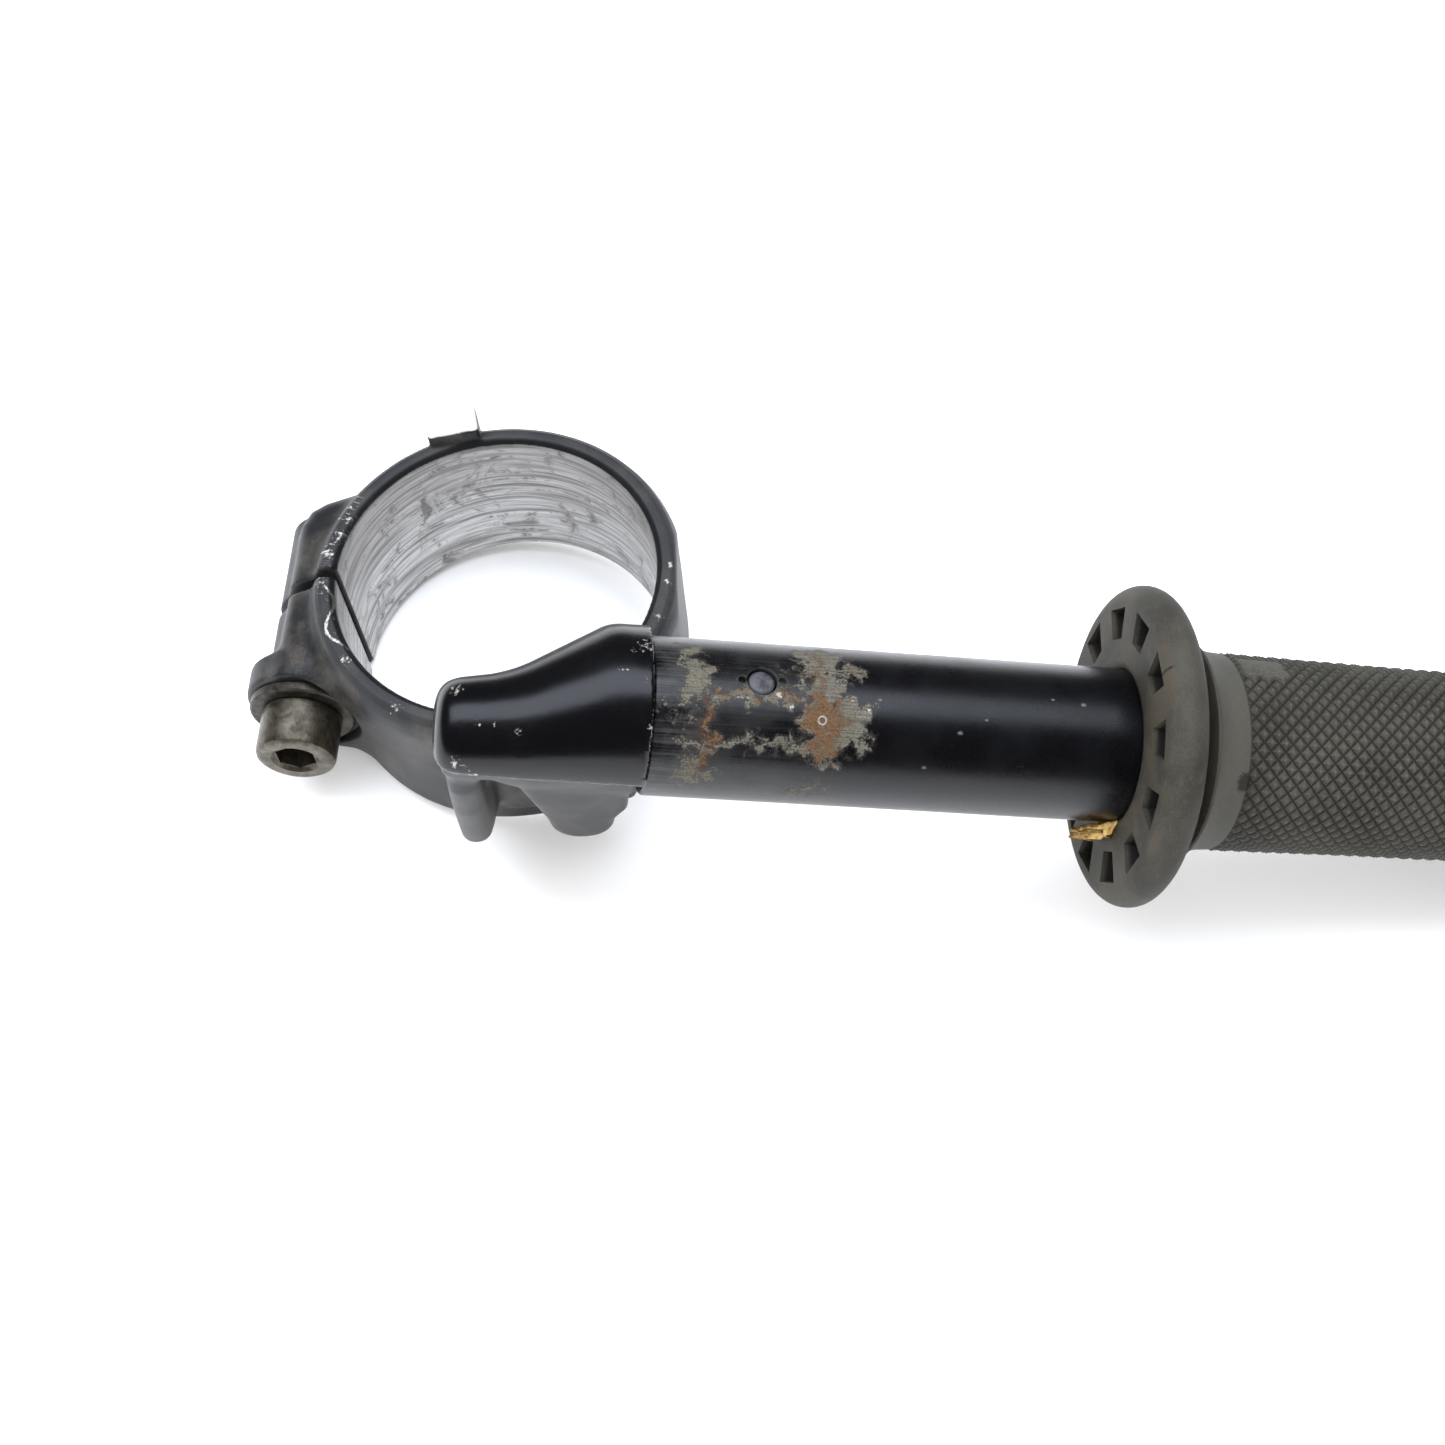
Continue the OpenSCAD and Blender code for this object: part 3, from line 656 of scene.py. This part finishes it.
# ---- Rubber grip ------------------------------------------------------------------------
# A moulded rubber grip, cemented on the tube: a round-rimmed flange with pockets in its
# inboard face, a groove, a plain collar, the knurled sleeve and an end bead. Sun has greyed it.
grip_along, grip_long, sleeve_start, mouth_r = seam + 69.0, 122.0, 14.0, 11.12
pockets, pocket_turn = 12, 0.05
rim_x, rim_centre, rim_r = 2.15, 20.35, 2.9
rim = [(rim_x - rim_r * math.cos(a), rim_centre + rim_r * math.sin(a))
       for a in np.linspace(0.15, math.pi - 0.25, 16)]
profile = [(-0.2, mouth_r), (-0.55, 11.5), (-0.7, 12.4), (-0.72, 16.0)] + rim + [
    (4.85, 18.0), (4.7, 16.2), (4.65, 14.2), (4.9, 13.3), (5.4, 12.9), (7.8, 12.9), (8.3, 13.4),
    (8.45, 15.3), (8.65, 15.9), (8.95, 16.0), (9.4, 15.6), (10.1, 15.05), (11.0, 14.65), (12.2, 14.4),
    (13.9, 14.3), (14.25, 14.15), (14.4, 13.6), (14.4, mouth_r)]
points, faces = turned([(x + grip_along, r) for x, r in profile], 144)
flange = mesh_piece("grip_flange", bar_to_row(points), faces)
pocket_points, pocket_faces = [], []
for i in range(pockets):
    angle = 2 * math.pi * i / pockets + pocket_turn
    wedge = [(x, r, w) for x in (-3.0, 2.2)
             for r, w in ((15.2, 1.9), (15.2, -1.9), (19.9, -3.1), (19.9, 3.1))]
    base = len(pocket_points)
    for x, r, w in wedge:
        w, r = (w * 0.82, r + (17.5 - r) * 0.12) if x > 0 else (w, r)
        pocket_points.append([grip_along + x, r * math.sin(angle) + w * math.cos(angle),
                              r * math.cos(angle) - w * math.sin(angle)])
    pocket_faces += [[base + k for k in f]
                     for f in ((0, 1, 2, 3), (7, 6, 5, 4), (0, 4, 5, 1), (1, 5, 6, 2),
                               (2, 6, 7, 3), (3, 7, 4, 0))]
cut(flange, mesh_piece("pockets", bar_to_row(np.array(pocket_points)), pocket_faces, False))
soften(flange, 40)

# the knurled sleeve: a grid rolled round the bar, its points raised to a lattice of pyramids
tree = bpy.data.node_groups.new("knurled_sleeve", "GeometryNodeTree")
tree.interface.new_socket(name="Geometry", in_out="OUTPUT", socket_type="NodeSocketGeometry")
sleeve_sizes = {"Rows": 46.0, "Around": 38.0, "Pitch": 2.15, "Valley radius": 14.0,
                "Height": 0.62, "Waist": 0.45}
sleeve_sockets = {name: tree.interface.new_socket(name=name, in_out="INPUT",
                                                  socket_type="NodeSocketFloat")
                  for name in sleeve_sizes}
given = tree.nodes.new("NodeGroupInput")
rows_in, around_in, pitch_in, valley_in, height_in, waist_in = (Wire(tree, given.outputs[name])
                                                                for name in sleeve_sizes)
wire = Wire(tree)
grid = wire.put("GeometryNodeMeshGrid", {}, {
    "Size X": 1.0, "Size Y": 1.0, "Vertices X": rows_in * 4.0 + 1.0,
    "Vertices Y": around_in * 4.0 + 1.0})
flat = wire.put("ShaderNodeSeparateXYZ", {}, {0: wire.put("GeometryNodeInputPosition")})
share_x = flat + 0.5
share_s = Wire(tree, flat.socket.node.outputs[1]) + 0.5
place_x = share_x * rows_in
turns = share_s * around_in
lattice = [((place + 0.5).sum("FRACT") - 0.5).sum("ABSOLUTE") * 2.0
           for place in (place_x + turns, place_x - turns)]
peak = (1.0 - (lattice[0].sum("MAXIMUM", lattice[1]))).sum("MINIMUM", 0.82)
ends = (place_x.sum("MINIMUM", rows_in - place_x) * 2.0).sum("MINIMUM", 1.0)
pad = ((place_x - 1.9).sum("ABSOLUTE").step(1.7, 1.45)
       * (share_s - 0.918).sum("ABSOLUTE").step(0.029, 0.025))
angle = share_s * (2 * math.pi)
ringed = wire.put("ShaderNodeCombineXYZ", {},
                  {0: place_x * 0.12, 1: angle.sum("SINE"), 2: angle.sum("COSINE")})
uneven = wire.put("ShaderNodeTexNoise", {}, {"Vector": ringed, "Scale": 4.0, "Detail": 3.0})
worn_peak = peak * (0.72 + uneven * 0.5) * ends
raised = worn_peak * (1.0 - pad) + pad * 0.8
centre = share_x * 2.0 - 1.0
radius = valley_in - waist_in * (1.0 - centre * centre) + raised * height_in
rolled = wire.put("ShaderNodeCombineXYZ", {}, {0: place_x * pitch_in, 1: angle.sum("SINE") * radius * -1.0,
                                               2: angle.sum("COSINE") * radius})
marked = wire.put("GeometryNodeStoreNamedAttribute", {"data_type": "FLOAT", "domain": "POINT"},
                  {0: grid, 2: "peak", 3: raised})
shaped = wire.put("GeometryNodeSetPosition", {}, {0: marked, 2: rolled})
joined = wire.put("GeometryNodeMergeByDistance", {}, {0: shaped, 2: 0.01})
joined = wire.put("GeometryNodeTriangulate", {}, {0: joined})
rubber, spot = new_material("grip_rubber")
real = wire.put("GeometryNodeRealizeInstances", {}, {0: joined})
whole = wire.put("GeometryNodeSetMaterial", {}, {0: real, 2: rubber})
ending = tree.nodes.new("NodeGroupOutput")
tree.links.new(whole.socket, ending.inputs[0])
sleeve = mesh_piece("grip_sleeve", [(0, 0, 0)], [])
rule = sleeve.modifiers.new("knurl", "NODES")
rule.node_group = tree
for name, size in sleeve_sizes.items():
    rule[sleeve_sockets[name].identifier] = size
graph = bpy.context.evaluated_depsgraph_get()
mesh = bpy.data.meshes.new_from_object(sleeve.evaluated_get(graph))
sleeve.modifiers.clear()
count = len(mesh.vertices)
points, peaks = np.empty(count * 3), np.empty(count)
mesh.vertices.foreach_get("co", points)
mesh.attributes["peak"].data.foreach_get("value", peaks)
points = points.reshape(-1, 3)
faces = [list(p.vertices) for p in mesh.polygons]
# each end turns in to the bar, and an inner wall joins the two
first = points[:, 0] < 0.01
last = points[:, 0] > points[:, 0].max() - 0.01
inner, extra, inner_r = {}, [], 11.15
for end in (first, last):
    for i in np.nonzero(end)[0]:
        inner[i] = count + len(extra)
        length = math.hypot(points[i, 1], points[i, 2])
        extra.append([points[i, 0], points[i, 1] * inner_r / length,
                      points[i, 2] * inner_r / length])
head_ring, tail_ring = (sorted(np.nonzero(end)[0],
                               key=lambda i: math.atan2(points[i, 1], points[i, 2]))
                        for end in (first, last))
for i in range(len(head_ring)):
    a, b = head_ring[i], head_ring[(i + 1) % len(head_ring)]
    c, d = tail_ring[i], tail_ring[(i + 1) % len(tail_ring)]
    faces += [[a, b, inner[b], inner[a]], [c, inner[c], inner[d], d],
              [inner[a], inner[b], inner[d], inner[c]]]
points = np.concatenate([points, extra])
peaks = np.concatenate([peaks, np.zeros(len(extra))])
points[:, 0] += grip_along + sleeve_start
sleeve_end = points[:, 0].max()
carrier = mesh_piece("sleeve", bar_to_row(points), faces, marks={"peak": peaks})
sleeve.data = carrier.data
bpy.data.objects.remove(carrier)


def face_out(piece):
    """Turns a closed piece's faces outwards."""
    shell = bmesh.new()
    shell.from_mesh(piece.data)
    bmesh.ops.recalc_face_normals(shell, faces=shell.faces)
    shell.to_mesh(piece.data)
    shell.free()


face_out(sleeve)
sleeve.data.polygons.foreach_set("use_smooth", [False] * len(sleeve.data.polygons))
grip_end = grip_along + grip_long
bead = [(sleeve_end - 0.6, mouth_r), (sleeve_end - 0.6, 13.4), (sleeve_end - 0.2, 14.5),
        (sleeve_end + 0.5, 15.0), (sleeve_end + 1.6, 15.25), (grip_end - 1.2, 15.25),
        (grip_end - 0.5, 15.0), (grip_end, 14.3), (grip_end, mouth_r)]
points, faces = turned(bead, 144)
end_bead = mesh_piece("grip_end_bead", bar_to_row(points), faces)
soften(end_bead, 50)

spot_x, spot_y, spot_z = spot.split()
along_bar = spot_x * math.cos(bar_droop) - (spot_z - bar_rise) * math.sin(bar_droop) - grip_along
up_bar = spot_x * math.sin(bar_droop) + (spot_z - bar_rise) * math.cos(bar_droop)
front = spot_y + bar_front
out_bar = (up_bar * up_bar + front * front).sum("SQRT")
cloud = spot.noise(0.10, 5.0, 0.6, distortion=0.5)
grain = spot.noise(3.2, 5.0, 0.65)
fine = spot.noise(14.0, 3.0, 0.6)
scuff = spot.noise(0.9, 6.0, 0.7, stretch=(2.0, 0.6, 0.6))
tone = (cloud * 0.6 + grain * 0.4).step(0.36, 0.64)
tone = tone.tint((0.0255, 0.0238, 0.0185), (0.047, 0.0440, 0.0350))
tone = ((scuff + (fine - 0.5) * 0.3).step(0.55, 0.72) * 0.5).tint(tone, (0.070, 0.065, 0.055))
face = along_bar.step(0.3, -0.3)
tone = (face * cloud.step(0.42, 0.62) * 0.45).tint(tone, (0.062, 0.050, 0.034))
angle = (0.0 - front).sum("ARCTAN2", up_bar)
tear = ((angle - 0.01) * out_bar + (grain - 0.5) * 0.5).sum("ABSOLUTE").step(0.28, 0.12)
tear = tear * out_bar.step(17.5, 18.5) * out_bar.step(22.6, 21.8)
tone = (tear * 0.85).tint(tone, (0.006, 0.006, 0.006))
collar = along_bar.step(8.8, 9.6) * along_bar.step(14.6, 14.2)
tone = (collar * 0.6).tint(tone, (0.070, 0.067, 0.056))
knurled = along_bar.step(13.9, 14.3) * along_bar.step(113.5, 112.8)
raised = spot.mark("peak")
# the knurl's valleys are darkened: partly unfaded rubber, partly painted shade between the pyramids
tone = (knurled * raised.step(0.30, 0.02) * 0.75).tint(tone, (0.008, 0.0075, 0.0065))
rubbed = knurled * raised.step(0.45, 0.8) * grain.step(0.3, 0.7)
tone = (rubbed * 0.6).tint(tone, (0.096, 0.092, 0.077))
pocket = (along_bar.step(-0.35, 0.4) * along_bar.step(3.5, 2.4) * out_bar.step(19.95, 19.6)
          * out_bar.step(14.9, 15.2))
tone = (pocket * 0.85).tint(tone, (0.006, 0.006, 0.0065))
groove = along_bar.step(4.0, 4.8) * along_bar.step(8.2, 7.9) * out_bar.step(15.9, 15.2)
tone = (groove * 0.9).tint(tone, (0.003, 0.003, 0.0035))
stain_x, stain_turn = (along_bar - 13.6) * 0.7, angle - 0.82
stain = stain_x * stain_x + stain_turn * stain_turn * 45.0
stain = (1.0 - stain + (grain - 0.5) * 1.4).step(0.35, 0.75)
tone = (stain * 0.75).tint(tone, (0.006, 0.003, 0.003))
shade(spot, tone, 0.62 + (grain - 0.5) * 0.25 + (fine - 0.5) * 0.1,
      bump=fine * 0.5 + grain * 0.9 + scuff * 0.4, bump_mm=0.07, Specular_IOR_Level=0.22)
for piece in (flange, sleeve, end_bead):
    piece.data.materials.clear()
    piece.data.materials.append(rubber)
    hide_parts("rubber_grip")
    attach(piece, "bar_assembly")

# ---- Dried cement -----------------------------------------------------------------------
# Yellow contact cement that ran out of the grip's mouth and dried as a brittle, torn film
# on the underside of the tube, against the flange.
strips, breadth = 44, 16
film_from, film_turn = 103, 30  # degrees round the bar from its top
film_points, film_faces = [], []
for layer in (0, 1):
    for i in range(strips + 1):
        turn = math.radians(film_from + film_turn * i / strips)
        tear = (3.9 + 2.0 * math.sin(i * 1.9) * math.sin(i * 0.53 + 1)
                + 1.0 * math.sin(i * 4.1 + 2))
        tear *= math.sin(math.pi * (i + 0.6) / (strips + 1.2)) ** 0.5
        for j in range(breadth + 1):
            share = j / breadth
            lift = (0.25 + 1.7 * share ** 1.4 * (1 + 0.45 * math.sin(i * 0.9))
                    + 0.16 * math.sin(i * 2.3 + j * 1.7))
            r = tube_r + (lift + 0.22 * (1 - share) + 0.1 if layer else max(lift - 0.18, 0.03))
            film_points.append([grip_along - 0.45 - share * tear, -r * math.sin(turn),
                                r * math.cos(turn)])
row = breadth + 1
sheet = (strips + 1) * row
for i in range(strips):
    for j in range(breadth):
        a, b, c, d = i * row + j, (i + 1) * row + j, (i + 1) * row + j + 1, i * row + j + 1
        film_faces += [[a, b, c, d], [sheet + d, sheet + c, sheet + b, sheet + a]]
edge_loop = (list(range(row)) + [i * row + breadth for i in range(1, strips + 1)]
             + [strips * row + j for j in range(breadth - 1, -1, -1)]
             + [i * row for i in range(strips - 1, 0, -1)])
film_faces += [[a, b, sheet + b, sheet + a]
               for a, b in zip(edge_loop, edge_loop[1:] + edge_loop[:1])]
film = mesh_piece("cement_film", bar_to_row(np.array(film_points)), film_faces)
face_out(film)
amber, spot = new_material("dried_cement")
flow = spot.noise(0.9, 5.0, 0.65, distortion=0.8)
grain = spot.noise(5.0, 3.0, 0.6)
tone = (flow + (grain - 0.5) * 0.3).step(0.35, 0.6).tint((0.30, 0.105, 0.012), (0.56, 0.40, 0.14))
shade(spot, tone, 0.38 + (grain - 0.5) * 0.3, bump=flow * 0.7 + grain * 0.4, bump_mm=0.15)
film.data.materials.append(amber)
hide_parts("grip_cement")
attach(film, "bar_assembly")

# ---- Damper, end weight and end screw -----------------------------------------------------
# A steel rod hangs in two rubber rings inside the tube and damps its buzz. A sprung cup holds
# it there, and a long screw pulls the painted end weight against the tube's mouth.
weight_along, seat_depth, screw_pitch = grip_end + 0.4, 27.5, 1.0
profile = [(-8, 3.3), (-8, 8.35), (-7.6, 8.75), (0, 8.75), (0, 14.3), (0.25, 14.9), (1.0, 15.5),
           (9.0, 15.5), (9.5, 15.3), (9.9, 14.5), (10.3, 14.3), (11.7, 14.3), (12.1, 14.5),
           (12.5, 15.3), (13.0, 15.5), (30.6, 15.5), (32.0, 15.1), (33.1, 14.2), (33.7, 13.2),
           (34.0, 12.2), (34.0, 6.2), (33.7, 5.6), (33.3, 5.4), (seat_depth, 5.4),
           (seat_depth, 3.3)]
points, faces = turned([(x + weight_along, r) for x, r in profile], 128)
weight = mesh_piece("end_weight", bar_to_row(points), faces)
soften(weight, 40)
paint, spot = new_material("end_paint")
grain = spot.noise(6.0, 4.0, 0.65)
cloud = spot.noise(0.2, 5.0, 0.6, distortion=0.4)
scrape = spot.noise(1.0, 5.0, 0.7, stretch=(0.8, 3.0, 3.0))
tone = (cloud + (grain - 0.5) * 0.3).step(0.35, 0.7).tint((0.008, 0.008, 0.009), (0.026, 0.025, 0.024))
tone = ((scrape + (grain - 0.5) * 0.4).step(0.66, 0.74) * 0.8).tint(tone, (0.25, 0.25, 0.25))
shade(spot, tone, 0.34 + (grain - 0.5) * 0.2 + (cloud - 0.5) * 0.2,
      bump=grain * 0.6 - scrape * 0.4, bump_mm=0.03)
weight.data.materials.append(paint)

seat = weight_along + seat_depth
shank = [(seat - 54, 2.2), (seat - 53.4, 2.9)]
shank += threaded(seat - 53.2, seat - 30, 2.95, screw_pitch)
profile = shank + [(seat - 29.5, 2.95), (seat - 0.2, 2.95), (seat, 3.2), (seat, 4.7),
                   (seat + 0.3, 4.98), (seat + 4.5, 4.98), (seat + 4.85, 4.8), (seat + 5.0, 4.4)]
points, faces = turned(profile, 64, closed=False)
points = cut_thread(points, seat - 53.6, seat - 30.5, screw_pitch, 0.5)
screw = mesh_piece("end_screw", bar_to_row(points), faces)
socket_points, socket_faces = turned([(seat + 2.2, 2.87), (seat + 6, 2.87)], 6, closed=False)
cut(screw, mesh_piece("socket", bar_to_row(socket_points), socket_faces, False))
soften(screw)
screw.data.materials.clear()
oxide = steel("screw_oxide", (0.012, 0.012, 0.013), (0.05, 0.05, 0.052), 0.4, 0.8, 0.2)
screw.data.materials.append(oxide)
for piece, node, slot, body in ((weight, "bar_end_weight", "end_paint", "end_weight"),
                                (screw, "bar_end_screw", "screw_oxide", "end_screw")):
    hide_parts(node)
    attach(piece, body)

finishes = {"damper_weight": steel("damper_steel", (0.06, 0.06, 0.062), (0.2, 0.2, 0.2),
                                   0.45, 0.8, 0.2),
            "weight_retainer": steel("spring_steel", (0.2, 0.2, 0.21), (0.45, 0.45, 0.46),
                                     0.35, 0.9)}
soft, spot = new_material("ring_rubber")
grain = spot.noise(4.0, 4.0, 0.6)
tone = grain.step(0.35, 0.65).tint((0.010, 0.010, 0.010), (0.028, 0.027, 0.026))
shade(spot, tone, 0.6 + (grain - 0.5) * 0.2, bump=grain, bump_mm=0.05)
finishes["damper_rings"] = soft
for node, finish in finishes.items():
    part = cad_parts[node]
    for place in part.material_slots:
        place.material = finish
